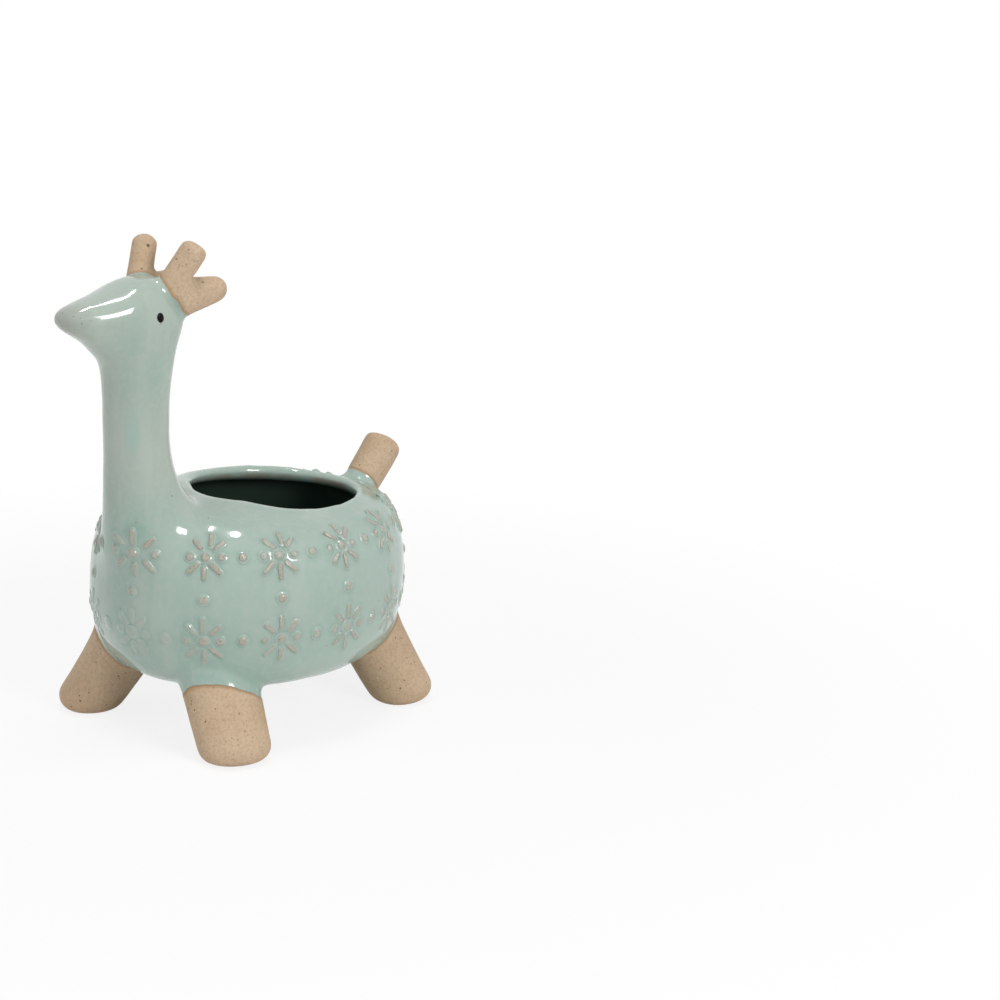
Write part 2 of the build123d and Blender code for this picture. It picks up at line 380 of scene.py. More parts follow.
    def material(self) -> bpy.types.Material:
        """Make the finish of the fused skin and of the clay pieces parted from it.

        Returns:
            The material.
        """
        g = Graph("stoneware")
        wobble = (g.noise(120.0, 2.0) - 0.5) * self.edge_wobble_mm
        bare = g.attribute("bare_mm") + wobble
        glazed = 1.0 - g.ramp(bare, -0.22, 0.18)
        droplets = g.specks(6.0 * MM, 0.70 * MM, 0.26)
        glazed = (glazed + droplets).clamp()
        colour = g.mix(glazed, self.clay_colour(g, bare), self.glaze_colour(g))
        inside = g.ramp(g.attribute("well_mm"), 0.6, 4.2) * 0.16
        rough = 0.80 - glazed * (0.72 - 0.05 * g.noise(60.0) - inside)
        waves = g.noise(55.0, 1.0) * 0.22 + g.noise(900.0, 1.0) * 0.006
        grit = g.noise(1800.0, 3.0) * 0.11 + g.specks(2.6 * MM, 0.5 * MM, 0.35) * -0.10
        height = glazed * (waves + self.glaze_thickness_mm) + (1.0 - glazed) * grit
        g.surface(colour, rough, height, IOR=self.ior)
        return g.material


@dataclass(frozen=True)
class SprigGlaze:
    """The same celadon on the sprigs, thin enough on their tops for the clay to show."""

    body: Stoneware = field(default_factory=Stoneware)
    top: Colour = (0.450, 0.418, 0.352)
    # Brown clay where the glaze wore through on the crowns: real wear
    wear_and_sheen: Colour = (0.365, 0.312, 0.248)

    def material(self) -> bpy.types.Material:
        """Make the finish of flowers and beads.

        Returns:
            The material.
        """
        g = Graph("sprig_glaze")
        relief = g.attribute("relief")
        patchy = g.ramp(g.noise(60.0), 0.30, 0.65)
        thin = g.ramp(relief + (g.noise(450.0) - 0.5) * 0.6, 0.22, 0.75)
        show = g.attribute("show")
        colour = g.mix(thin * show * (0.6 + patchy * 0.4), self.body.coat(g), self.top)
        broken = g.ramp(relief + (g.noise(900.0) - 0.5) * 1.2, 0.80, 1.15) * show
        colour = g.mix(broken * 0.45, colour, self.wear_and_sheen)
        specks = g.specks(1.05 * MM, 0.32 * MM, 0.45) * thin * show
        colour = g.mix(specks * 0.7, colour, self.body.speck)
        pebbles = g.noise(1100.0, 1.0) * g.ramp(relief, 0.3, 0.8) * 0.60 * show
        rough = 0.06 + g.ramp(relief, 0.6, 1.0) * 0.10
        g.surface(colour, rough, pebbles + g.noise(400.0) * 0.04, IOR=self.body.ior)
        return g.material


@dataclass(frozen=True)
class EyeGlaze:
    """Glossy black dot, mottled with a painted sheen."""

    black: Colour = (0.004, 0.004, 0.004)
    # The lighter black mottled over the eye is a painted sheen
    wear_and_sheen: Colour = (0.012, 0.010, 0.009)
    ior: float = 1.18

    def material(self) -> bpy.types.Material:
        """Make the finish of the eyes.

        Returns:
            The material.
        """
        g = Graph("eye_glaze")
        # Noise patches of the lighter black: a painted sheen on the glaze
        colour = g.mix(g.ramp(g.noise(900.0), 0.4, 0.8) * 0.5, self.black, self.wear_and_sheen)
        g.surface(colour, 0.10 + g.noise(700.0) * 0.05, g.noise(600.0) * 0.02, IOR=self.ior)
        return g.material


class Bench:
    """Modelling steps that the pieces share."""

    @staticmethod
    def pick(*objects: bpy.types.Object) -> None:
        """Select only these objects, with the first one active."""
        if bpy.context.mode != "OBJECT":
            bpy.ops.object.mode_set(mode="OBJECT")
        bpy.ops.object.select_all(action="DESELECT")
        for obj in objects:
            obj.select_set(True)
        bpy.context.view_layer.objects.active = objects[0]

    @staticmethod
    def copy(source: bpy.types.Object, name: str) -> bpy.types.Object:
        """Copy an object with its own mesh, at the origin.

        Args:
            source: the object to copy.
            name: the copy's name.

        Returns:
            The copy.
        """
        mesh = source.data.copy()
        mesh.transform(source.matrix_world)
        mesh.materials.clear()
        copy = bpy.data.objects.new(name, mesh)
        bpy.context.scene.collection.objects.link(copy)
        return copy

    @staticmethod
    def apply(obj: bpy.types.Object, kind: str, **settings: Any) -> None:
        """Add one modifier and apply it.

        Args:
            obj: the object.
            kind: the modifier's type.
            settings: the modifier's attributes.
        """
        Bench.pick(obj)
        modifier = obj.modifiers.new(kind.lower(), kind)
        for key, value in settings.items():
            setattr(modifier, key, value)
        bpy.ops.object.modifier_apply(modifier=modifier.name)

    @staticmethod
    def points(mesh: bpy.types.Mesh) -> np.ndarray:
        """The mesh's vertex places as an array."""
        flat = np.empty(len(mesh.vertices) * 3)
        mesh.vertices.foreach_get("co", flat)
        return flat.reshape(-1, 3)

    @staticmethod
    def normals(mesh: bpy.types.Mesh) -> np.ndarray:
        """The mesh's vertex normals as an array."""
        flat = np.empty(len(mesh.vertices) * 3)
        mesh.vertex_normals.foreach_get("vector", flat)
        return flat.reshape(-1, 3)

    @staticmethod
    def note(mesh: bpy.types.Mesh, name: str, values: np.ndarray) -> None:
        """Store one number for each vertex under a name that the materials read."""
        layer = mesh.attributes.get(name) or mesh.attributes.new(name, "FLOAT", "POINT")
        layer.data.foreach_set("value", values.astype(np.float32))

    @staticmethod
    def smooth(share: np.ndarray) -> np.ndarray:
        """Smooth step over shares from 0 to 1."""
        return share**2 * (3.0 - 2.0 * share)

    @staticmethod
    def tree(obj: bpy.types.Object) -> BVHTree:
        """Search tree over an object's faces, in the frame's coordinates."""
        points = [obj.matrix_world @ v.co for v in obj.data.vertices]
        return BVHTree.FromPolygons(points, [tuple(p.vertices) for p in obj.data.polygons])

    @staticmethod
    def distances(tree: BVHTree, points: np.ndarray, limit: float) -> np.ndarray:
        """Distance from each point to a surface, at most limit."""
        found = (tree.find_nearest(p, limit)[3] for p in map(Vector, points))
        return np.array([limit if d is None else d for d in found])


@dataclass
class FiredForm:
    """Bowl, neck, legs, tail and antlers as one fired skin, parted where the glaze ends."""

    nodes: dict[str, bpy.types.Object]
    cad_box: list[list[float]]
    voxel: float = 1.1 * MM
    settle_passes: int = 8
    blend_passes: int = 34
    part_margin_mm: float = 1.4
    # The bowl's inside: slope of the mouth in degrees, and which way its walls, roof and floor face
    mouth_tilt: float = 4.8
    well_share: float = 0.8
    well_reach: float = 4.0 * MM
    wall_least: float = 3.0 * MM
    inward_from: float = 0.05
    ceiling_from: float = 0.2
    ground_from: float = 0.3
    glazed: tuple[str, ...] = ("bowl", "neck_and_head")
    # How far the glaze runs onto each clay piece, and how wide its joint is softened, in mm
    clay: dict[str, tuple[tuple[str, ...], float, float]] = field(
        default_factory=lambda: {
            "clay_leg_front_left": (("leg_front_left",), 6.0, 10.0),
            "clay_leg_front_right": (("leg_front_right",), 0.6, 10.0),
            "clay_leg_rear_left": (("leg_rear_left",), 0.6, 10.0),
            "clay_leg_rear_right": (("leg_rear_right",), 1.4, 10.0),
            "clay_tail": (("tail",), 3.4, 6.0),
            "clay_antler_left": (("antler_beam_left", "antler_tine_left"), 1.6, 3.0),
            "clay_antler_right": (("antler_beam_right", "antler_tine_right"), 1.6, 3.0),
        }
    )
    neck_blend_mm: float = 19.0
    nape_blend_mm: float = 6.0
    neck_passes: int = 200
    # Weight of the easing at a joint, where 1 and over is full, and the least that counts
    ease_full: float = 1.3
    ease_least: float = 0.01
    wave_length: float = 0.030
    wave_depth: float = 1.1 * MM
    # How far the searches reach: for joints, for the survey, for a clay piece's own skin, for sprigs
    blend_reach: float = 20.0 * MM
    survey_reach: float = 40.0 * MM
    owner_reach: float = 12.0 * MM
    sprig_reach: float = 8.0 * MM
    # Glaze far from any clay piece, and how a joint's fillet holds the glaze back
    covered_mm: float = 6.0
    fillet_mm: float = 6.0
    fillet_share: float = 0.5
    fork_blend_mm: float = 4.0
    # Hollows: how often they are spread, the dip that counts as 1, and the most that is noted
    hollow_passes: int = 6
    hollow_full: float = 0.022 * MM
    hollow_most: float = 1.5
    # The thumb's press on the lip: its depth, how far down, out and along it fades, and its place
    lip_dip: float = 3.0 * MM
    lip_depth: float = 26.0 * MM
    lip_side: float = 34.0 * MM
    lip_length: float = 30.0 * MM
    lip_back: float = 4.0 * MM
    # The dome on the right beam: how much of the beam is measured, and how level its flat end is
    dome_reach: float = 8.0 * MM
    level_from: float = 0.7
    tine_widths: tuple[float, float] = (1.22, 0.78)
    # Place of each patch (left of the middle, behind the front, above the floor) and its size, in mm
    drip_patch: tuple[Triple, Triple] = ((9.0, 25.0, 123.0), (3.4, 5.0, 12.0))
    chest_patch: tuple[Triple, Triple] = ((8.0, 3.4, 86.5), (7.0, 9.0, 5.0))
    nose_length: float = 15.0 * MM

    def fuse(self) -> bpy.types.Object:
        """Join copies of the CAD pieces into one closed skin.

        Returns:
            The skin.
        """
        names = list(self.glazed) + [n for parts, _, _ in self.clay.values() for n in parts]
        copies = [Bench.copy(self.nodes[n], "glazed_body") for n in names]
        for copy, name in zip(copies, names):
            if "tine" in name:
                self._taper(copy)
        Bench.pick(*copies)
        bpy.ops.object.join()
        skin = bpy.context.view_layer.objects.active
        bpy.ops.object.mode_set(mode="EDIT")
        bpy.ops.mesh.select_all(action="SELECT")
        bpy.ops.mesh.remove_doubles(threshold=0.001 * MM)
        bpy.ops.object.mode_set(mode="OBJECT")
        Bench.apply(skin, "REMESH", mode="VOXEL", voxel_size=self.voxel)
        Bench.apply(skin, "SMOOTH", factor=0.5, iterations=self.settle_passes)
        return skin

    def _taper(self, tine: bpy.types.Object) -> None:
        """Widen a tine at its root and narrow it towards its tip.

        Args:
            tine: copy of the CAD tine.
        """
        points = Bench.points(tine.data)
        tip = points[points[:, 1].argmax()]
        root = points[points[:, 1].argmin()]
        centre = points.mean(axis=0)
        axis = np.linalg.eigh(np.cov((points - centre).T))[1][:, 2]
        axis *= np.sign(axis @ (tip - root))
        along = (points - centre) @ axis
        share = (along - along.min()) / (along.max() - along.min())
        middle = centre + np.outer(along, axis)
        wide, narrow = self.tine_widths
        points = middle + (points - middle) * (wide + (narrow - wide) * share)[:, None]
        tine.data.vertices.foreach_set("co", points.ravel())
        tine.data.update()

    def soften(self, skin: bpy.types.Object) -> None:
        """Smooth the skin where two pieces were luted together.

        Args:
            skin: the fused skin.
        """
        points = Bench.points(skin.data)
        reach = self.blend_reach
        away = {n: Bench.distances(Bench.tree(self.nodes[n]), points, reach) for n in self.glazed}
        neck = [(away["bowl"], away["neck_and_head"], self.neck_blend_mm)]
        groups = []
        body = np.minimum(away["bowl"], away["neck_and_head"])
        for parts, _, blend in self.clay.values():
            sides = [Bench.distances(Bench.tree(self.nodes[n]), points, reach) for n in parts]
            groups.append((body, np.min(sides, axis=0), blend))
            if len(sides) > 1:
                groups.append((sides[0], sides[1], self.fork_blend_mm))
        nape = np.where(points[:, 2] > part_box("bowl")[1][2], np.abs(points[:, 0]), reach)
        self._ease(skin, [(nape, np.zeros(len(points)), self.nape_blend_mm)], self.blend_passes)
        self._ease(skin, neck, self.neck_passes)
        self._ease(skin, groups, self.blend_passes)

    def _ease(
        self,
        skin: bpy.types.Object,
        joints: list[tuple[np.ndarray, np.ndarray, float]],
        passes: int,
    ) -> None:
        """Smooth the skin near joints.

        Args:
            skin: the fused skin.
            joints: for each joint, each vertex's distance to both pieces, and the joint's width in mm.
            passes: how often the skin is smoothed there.
        """
        weight = np.zeros(len(skin.data.vertices))
        for first, second, blend in joints:
            apart = np.maximum(first, second)
            close = np.clip(self.ease_full - self.ease_full * apart / (blend * MM), 0.0, 1.0)
            weight = np.maximum(weight, Bench.smooth(close))
        group = skin.vertex_groups.new(name="joint")
        for index in np.flatnonzero(weight > self.ease_least):
            group.add([int(index)], float(weight[index]), "REPLACE")
        Bench.apply(skin, "SMOOTH", factor=0.5, iterations=passes, vertex_group="joint")
        skin.vertex_groups.clear()

    def roughen(self, skin: bpy.types.Object) -> None:
        """Give the skin the slight waves of hand-finished clay, inside the CAD box.

        Args:
            skin: the softened skin.
        """
        waves = bpy.data.textures.new("hand_waves", "CLOUDS")
        waves.noise_scale = self.wave_length
        Bench.apply(skin, "DISPLACE", texture=waves, strength=self.wave_depth, mid_level=0.5)
        bpy.data.textures.remove(waves)
        points = np.clip(Bench.points(skin.data), *map(np.array, self.cad_box))
        skin.data.vertices.foreach_set("co", points.ravel())
        skin.data.update()

    def press_lip(self, skin: bpy.types.Object) -> None:
        """Lower the lip on the planter's left, where the potter's thumb pressed it.

        Args:
            skin: the surveyed skin.
        """
        low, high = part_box("bowl")
        points = Bench.points(skin.data)
        rise = np.clip((points[:, 2] - high[2]) / self.lip_depth + 1.0, 0.0, 1.0)
        side = np.clip(points[:, 0] / self.lip_side, 0.0, 1.0)
        along = (points[:, 1] - (low[1] + high[1]) / 2 - self.lip_back) / self.lip_length
        ease = Bench.smooth(rise) * Bench.smooth(side)
        points[:, 2] -= self.lip_dip * ease * np.exp(-(along**2))
        skin.data.vertices.foreach_set("co", points.ravel())
        skin.data.update()

    def round_beam(self, skin: bpy.types.Object) -> None:
        """Turn the flat end of the right antler's beam into a dome, as the photograph shows it.

        Args:
            skin: the softened skin.
        """
        beam = self.nodes["antler_beam_right"]
        turn = np.array(beam.matrix_world.to_3x3())
        corners = Bench.points(beam.data) @ turn.T + np.array(beam.matrix_world.translation)
        flats: dict[tuple[float, ...], float] = {}
        for face in beam.data.polygons:
            normal = tuple(round(float(x), 3) for x in turn @ np.array(face.normal))
            if normal[2] > self.level_from:
                flats[normal] = flats.get(normal, 0.0) + face.area
        axis = np.array(Vector(max(flats, key=flats.get)).normalized())
        along = corners @ axis
        rim = corners[along > along.max() - 0.01 * MM]
        middle = (rim.min(axis=0) + rim.max(axis=0)) / 2
        side = corners[along > along.max() - self.dome_reach] - middle
        radius = np.linalg.norm(side - np.outer(side @ axis, axis), axis=1).max()
        centre = middle - axis * radius
        points = Bench.points(skin.data)
        away = points - centre
        ahead = away @ axis
        reach = np.linalg.norm(away, axis=1)
        near = (ahead > 0.0) & (reach > radius) & (reach < 2.0 * radius)
        shrink = np.where(near, radius / np.maximum(reach, radius), 1.0)
        points = centre + away * shrink[:, None]
        skin.data.vertices.foreach_set("co", points.ravel())
        skin.data.update()

    def _away(self, names: tuple[str, ...], points: np.ndarray, reach: float) -> np.ndarray:
        """Distance from each point to the nearest of some CAD pieces, at most reach."""
        trees = [Bench.tree(self.nodes[name]) for name in names]
        return np.min([Bench.distances(tree, points, reach) for tree in trees], axis=0)

    def survey(self, skin: bpy.types.Object, sprigs: BVHTree) -> np.ndarray:
        """Note on the skin what the glaze depends on.

        Args:
            skin: the softened skin.
            sprigs: search tree over the CAD sprigs.

        Returns:
            For each vertex, the number of the clay piece that it is nearest to.
        """
        mesh = skin.data
        points = Bench.points(mesh)
        normals = Bench.normals(mesh)
        reach = self.survey_reach
        body = self._away(self.glazed, points, reach)
        nearest = np.full(len(points), -1)
        bare = np.full(len(points), -self.covered_mm)
        best = np.full(len(points), self.owner_reach)
        for number, (parts, run, _) in enumerate(self.clay.values()):
            away = self._away(parts, points, reach)
            closer = away < best
            best = np.where(closer, away, best)
            nearest = np.where(closer, number, nearest)
            fillet = np.minimum(away / MM, self.fillet_mm) * self.fillet_share
            bare = np.where(closer, body / MM - run - fillet, bare)
        Bench.note(mesh, "bare_mm", bare)
        Bench.note(mesh, "hollow", self._hollow(mesh, points, normals))
        Bench.note(mesh, "well_mm", self._well(points))
        Bench.note(mesh, "sprig_mm", Bench.distances(sprigs, points, self.sprig_reach) / MM)
        Bench.note(mesh, "drip", self._drip(points))
        Bench.note(mesh, "nose", self._nose(points))
        Bench.note(mesh, "chest", self._chest(points))
        return nearest

    def _hollow(self, mesh: bpy.types.Mesh, points: np.ndarray, normals: np.ndarray) -> np.ndarray:
        """How hollow the skin is at each vertex, from 0 on swells to about 1 in tight creases."""
        ends = np.empty(len(mesh.edges) * 2, dtype=np.int64)
        mesh.edges.foreach_get("vertices", ends)
        ends = ends.reshape(-1, 2)
        count = np.bincount(ends.ravel(), minlength=len(points))

        def spread(values: np.ndarray) -> np.ndarray:
            """Mean of the neighbours' values."""
            total = np.zeros_like(values)
            np.add.at(total, ends[:, 0], values[ends[:, 1]])
            np.add.at(total, ends[:, 1], values[ends[:, 0]])
            return total / (count[:, None] if values.ndim > 1 else count)

        lift = ((spread(points) - points) * normals).sum(axis=1)
        for _ in range(self.hollow_passes):
            lift = spread(lift)
        return np.clip(lift / self.hollow_full, 0.0, self.hollow_most)

    def _well(self, points: np.ndarray) -> np.ndarray:
        """Depth below the lip inside the bowl, in mm, and 0 outside."""
        low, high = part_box("bowl")
        middle = (Vector(low) + Vector(high)) / 2
        tree = Bench.tree(self.nodes["bowl"])
        slope = math.tan(math.radians(self.mouth_tilt)) * self.well_share
        depth = np.zeros(len(points))
        for index, point in enumerate(map(Vector, points)):
            spot, normal, _, _ = tree.find_nearest(point, self.well_reach)
            if spot is None:
                continue
            out = Vector((spot.x - middle.x, spot.y - middle.y, 0.0))
            inward = -normal.dot(out.normalized())
            ceiling = normal.z < -self.ceiling_from and spot.z > middle.z
            ground = normal.z > self.ground_from and low[2] + self.wall_least < spot.z < middle.z
            if inward > self.inward_from or ceiling or ground:
                depth[index] = max(0.0, high[2] - (point.y - low[1]) * slope - point.z) / MM
        return depth

    @staticmethod
    def _patch(points: np.ndarray, front: float, patch: tuple[Triple, Triple]) -> np.ndarray:
        """How far inside a soft-edged patch of glaze each vertex lies.

        Args:
            points: the vertices' places.
            front: front end of the piece that the patch is measured from.
            patch: the patch's place and size in mm.

        Returns:
            1 in the middle of the patch, fading to 0 outside it.
        """
        spot, size = (np.array(part) * MM for part in patch)
        spot[1] += front
        return np.exp(-(((points - spot) / size) ** 2).sum(axis=1))

    def _drip(self, points: np.ndarray) -> np.ndarray:
        """Where a run of thicker, bluer glaze came down the neck's left front."""
        low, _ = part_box("neck_and_head")
        return self._patch(points, low[1], self.drip_patch)

    def _chest(self, points: np.ndarray) -> np.ndarray:
        """Where the glaze pooled greener on the left of the chest."""
        low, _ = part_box("bowl")
        return self._patch(points, low[1], self.chest_patch)

    def _nose(self, points: np.ndarray) -> np.ndarray:
        """How near each vertex is to the tip of the nose, from 0 to 1."""
        low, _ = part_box("neck_and_head")
        return np.clip(1.0 - (points[:, 1] - low[1]) / self.nose_length, 0.0, 1.0)

    def part(self, skin: bpy.types.Object, nearest: np.ndarray) -> dict[str, bpy.types.Object]:
        """Part the clay pieces from the skin just past the glaze's edge, and close both sides.

        Args:
            skin: the surveyed skin.
            nearest: number of the nearest clay piece for each vertex.

        Returns:
            The clay pieces by name.
        """
        Bench.note(skin.data, "piece", nearest)
        pieces: dict[str, bpy.types.Object] = {}
        for number, name in enumerate(self.clay):
            mesh = skin.data
            bare = np.empty(len(mesh.vertices), dtype=np.float32)
            mesh.attributes["bare_mm"].data.foreach_get("value", bare)
            owner = np.empty(len(mesh.vertices), dtype=np.float32)
            mesh.attributes["piece"].data.foreach_get("value", owner)
            mine = (owner == number) & (bare > self.part_margin_mm)
            chosen = [all(mine[i] for i in p.vertices) for p in mesh.polygons]
            Bench.pick(skin)
            bpy.context.tool_settings.mesh_select_mode = (False, False, True)
            mesh.polygons.foreach_set("select", chosen)
            before = set(bpy.data.objects)
            bpy.ops.object.mode_set(mode="EDIT")
            bpy.ops.mesh.separate(type="SELECTED")
            bpy.ops.object.mode_set(mode="OBJECT")
            made = (set(bpy.data.objects) - before).pop()
            made.name = name
            pieces[name] = made
        for obj in [skin, *pieces.values()]:
            self._close(obj)
        return pieces

    @staticmethod
    def _close(obj: bpy.types.Object) -> None:
        """Cap the openings that parting left, and shade the piece smooth with a sharp cap."""
        Bench.pick(obj)
        bpy.ops.object.mode_set(mode="EDIT")
        bpy.ops.mesh.select_mode(type="EDGE")
        bpy.ops.mesh.select_all(action="DESELECT")
        bpy.ops.mesh.select_non_manifold(
            extend=False, use_wire=False, use_multi_face=False, use_verts=False
        )
        bpy.ops.mesh.mark_sharp()
        bpy.ops.mesh.select_all(action="SELECT")
        bpy.ops.mesh.fill_holes(sides=0)
        bpy.ops.mesh.select_all(action="DESELECT")
        bpy.ops.mesh.select_face_by_sides(number=4, type="GREATER")
        bpy.ops.mesh.poke()
        bpy.ops.object.mode_set(mode="OBJECT")
        bpy.ops.object.shade_smooth(keep_sharp_edges=True)

    def build(self, sprigs: BVHTree, finish: bpy.types.Material) -> bpy.types.Object:
        """Make the glazed body and the clay pieces, and dress them.

        Args:
            sprigs: search tree over the CAD sprigs.
            finish: the stoneware material.

        Returns:
            The glazed body.
        """
        skin = self.fuse()
        self.soften(skin)
        self.roughen(skin)
        nearest = self.survey(skin, sprigs)
        self.press_lip(skin)
        self.round_beam(skin)
        pieces = self.part(skin, nearest)
        skin.data.materials.append(finish)
        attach(skin, "root")
        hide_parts(*self.glazed)
        LOG.info("glazed_body: %d faces", len(skin.data.polygons))
        for name, piece in pieces.items():
            piece.data.materials.clear()
            piece.data.materials.append(finish)
            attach(piece, "root")
            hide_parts(*self.clay[name][0])
            LOG.info("%s: %d faces", name, len(piece.data.polygons))
        return skin


@dataclass
class Sprigs:
    """Flowers and beads pressed onto the wet bowl, one piece for each CAD node of them."""

    nodes: dict[str, bpy.types.Object]
    sides: int = 12
    sink: float = 0.35
    # Inward step and rise of each ring from the skirt to the crown, as shares of the half-width
    rings: tuple[tuple[float, float], ...] = (
        (0.30, 0.04),
        (0.25, 0.20),
        (0.28, 0.16),
        (0.32, 0.06),
    )
    skirt: float = 1.45
    # Bar petals: width over the CAD's, half-length over half-width, and how long a solid is one
    bar_width: float = 0.82
    bar_length: float = 6.2 / 2.8
    bar_ratio: float = 1.5
    uneven: float = 0.10
    seed: int = 7
    # Height and showing of the clay, by row; the lower row is nearly drowned in glaze
    strengths: tuple[tuple[str, float, float], ...] = (
        ("lower", 0.62, 0.85),
        ("upper", 1.25, 1.10),
    )
    drop_strength: tuple[float, float] = (0.9, 1.0)
    # The glaze is thickest low on the chest: where that starts, how fast it grows, and its limits
    drown_reach: float = 60.0 * MM
    drown_from: float = 0.88
    drown_rate: float = 4.5
    drown_most: float = 0.7
    drown_rise: float = 0.5
    show_range: tuple[float, float] = (-0.25, 0.10)

    def names(self) -> list[str]:
        """Names of the CAD nodes that are sprigs."""
        return sorted(n for n in self.nodes if "flower" in n or "beads" in n)

    def tree(self) -> BVHTree:
        """Search tree over all CAD sprigs."""
        points: list[Vector] = []
        faces: list[tuple[int, ...]] = []
        for name in self.names():
            node = self.nodes[name]
            start = len(points)
            points += [node.matrix_world @ v.co for v in node.data.vertices]
            faces += [tuple(start + i for i in p.vertices) for p in node.data.polygons]
        return BVHTree.FromPolygons(points, faces)

    def stamp(self, length: float) -> bpy.types.Object:
        """Model one sprig of half-width 1 on the XY plane.

        Args:
            length: half-length along Y, 1 for a round dot.

        Returns:
            The sprig, with its relief noted on the mesh.
        """
        bpy.ops.object.select_all(action="DESELECT")
        bpy.ops.mesh.primitive_circle_add(vertices=self.sides, radius=self.skirt, fill_type="NGON")
        obj = bpy.context.view_layer.objects.active
        for vertex in obj.data.vertices:
            vertex.co.y += math.copysign(length - 1.0, vertex.co.y)
        bpy.ops.object.mode_set(mode="EDIT")
        bpy.ops.mesh.select_all(action="SELECT")
        bpy.ops.mesh.extrude_region_move(TRANSFORM_OT_translate={"value": (0, 0, self.sink)})
        for step, rise in self.rings:
            bpy.ops.mesh.inset(thickness=step, depth=rise)
        bpy.ops.mesh.poke()
        bpy.ops.mesh.select_all(action="SELECT")
        bpy.ops.mesh.normals_make_consistent(inside=False)
        bpy.ops.object.mode_set(mode="OBJECT")
        obj.data.transform(Matrix.Translation((0, 0, -self.sink)))
        obj.data.polygons.foreach_set("use_smooth", [True] * len(obj.data.polygons))
        heights = Bench.points(obj.data)[:, 2]
        Bench.note(obj.data, "relief", np.clip(heights / heights.max(), 0.0, 1.0))
        return obj

    @staticmethod
    def islands(obj: bpy.types.Object) -> list[np.ndarray]:
        """Split a CAD node into its separate solids.

        Args:
            obj: the node.

        Returns:
            The points of each solid.
        """
        points = Bench.points(obj.data) @ np.array(obj.matrix_world.to_3x3()).T
        points += np.array(obj.matrix_world.translation)
        _, spot = np.unique(np.round(points / WELD), axis=0, return_inverse=True)
        spot = spot.ravel()
        label = np.arange(spot.max() + 1)
        corners = np.array([[spot[i] for i in p.vertices[:3]] for p in obj.data.polygons])
        while True:
            least = label[corners].min(axis=1)
            new = label.copy()
            for column in range(3):
                np.minimum.at(new, corners[:, column], least)
            if (new == label).all():
                break
            label = new
        owner = label[spot]
        return [points[owner == value] for value in np.unique(owner)]

    def place(self, solid: np.ndarray, skin: BVHTree, axis: Vector) -> tuple[Matrix, bool]:
        """Work out where one sprig goes.

        Args:
            solid: points of the CAD solid.
            skin: search tree over the glazed body.
            axis: a point on the bowl's upright axis.

        Returns:
            The sprig's matrix, and whether it is a bar.
        """
        centre = solid.mean(axis=0)
        spread, ways = np.linalg.eigh(np.cov((solid - centre).T))
        long_way = Vector(ways[:, 2])
        spot, normal, _, _ = skin.find_nearest(Vector(centre))
        if normal.dot(Vector((centre[0] - axis.x, centre[1] - axis.y, 0.0))) < 0:
            normal = -normal
        bar = math.sqrt(spread[2] / spread[1]) > self.bar_ratio
        along = long_way if bar else Vector((0.0, 0.0, 1.0))
        along = (along - normal * along.dot(normal)).normalized()
        across = along.cross(normal)
        reach = ((solid - centre) @ np.array(across)).max()
        turn = Matrix((across, along, normal)).transposed().to_4x4()
        return Matrix.Translation(spot) @ turn @ Matrix.Scale(reach, 4), bar

    def strength(self, name: str, spot: Vector, axis: Vector) -> tuple[float, float]:
        """How high a sprig stands and how much clay shows on it.

        Args:
            name: the CAD node.
            spot: the sprig's place.
            axis: a point on the bowl's upright axis.

        Returns:
            Shares of the full height and of the full showing.
        """
        for row, rise, show in self.strengths:
            if name.startswith(row):
                ahead = (axis.y - spot.y) / self.drown_reach - self.drown_from
                front = max(0.0, ahead) if row == "lower" else 0.0
                left = 1.0 - min(self.drown_most, self.drown_rate * front)
                return rise * max(self.drown_rise, left), show * left
        return self.drop_strength

    def build(self, body: bpy.types.Object, finish: bpy.types.Material) -> None:
        """Press every sprig onto the body.

        Args:
            body: the glazed body.
            finish: the sprigs' material.
        """
        chance = random.Random(self.seed)
        skin = Bench.tree(body)
        low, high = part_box("bowl")
        axis = (Vector(low) + Vector(high)) / 2
        stamps = {False: self.stamp(1.0), True: self.stamp(self.bar_length)}
        for name in self.names():
            copies = []
            for solid in self.islands(self.nodes[name]):
                matrix, bar = self.place(solid, skin, axis)
                sizes = [1.0 + chance.uniform(-self.uneven, self.uneven) for _ in range(3)]
                rise, show = self.strength(name, matrix.translation, axis)
                sizes[2] *= rise
                if bar:
                    sizes[0] *= self.bar_width
                copy = Bench.copy(stamps[bar], "pressed_" + name)
                copy.data.transform(matrix @ Matrix.Diagonal((*sizes, 1.0)))
                shown = show * (1.0 + chance.uniform(*self.show_range))
                Bench.note(copy.data, "show", np.full(len(copy.data.vertices), shown))
                copies.append(copy)
            Bench.pick(*copies)
            bpy.ops.object.join()
            piece = bpy.context.view_layer.objects.active
            piece.name = "pressed_" + name
            piece.data.materials.append(finish)
            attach(piece, "root")
            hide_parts(name)
        LOG.info("sprigs: %d pieces", len(self.names()))
        Bench.pick(*stamps.values())
        bpy.ops.object.delete()


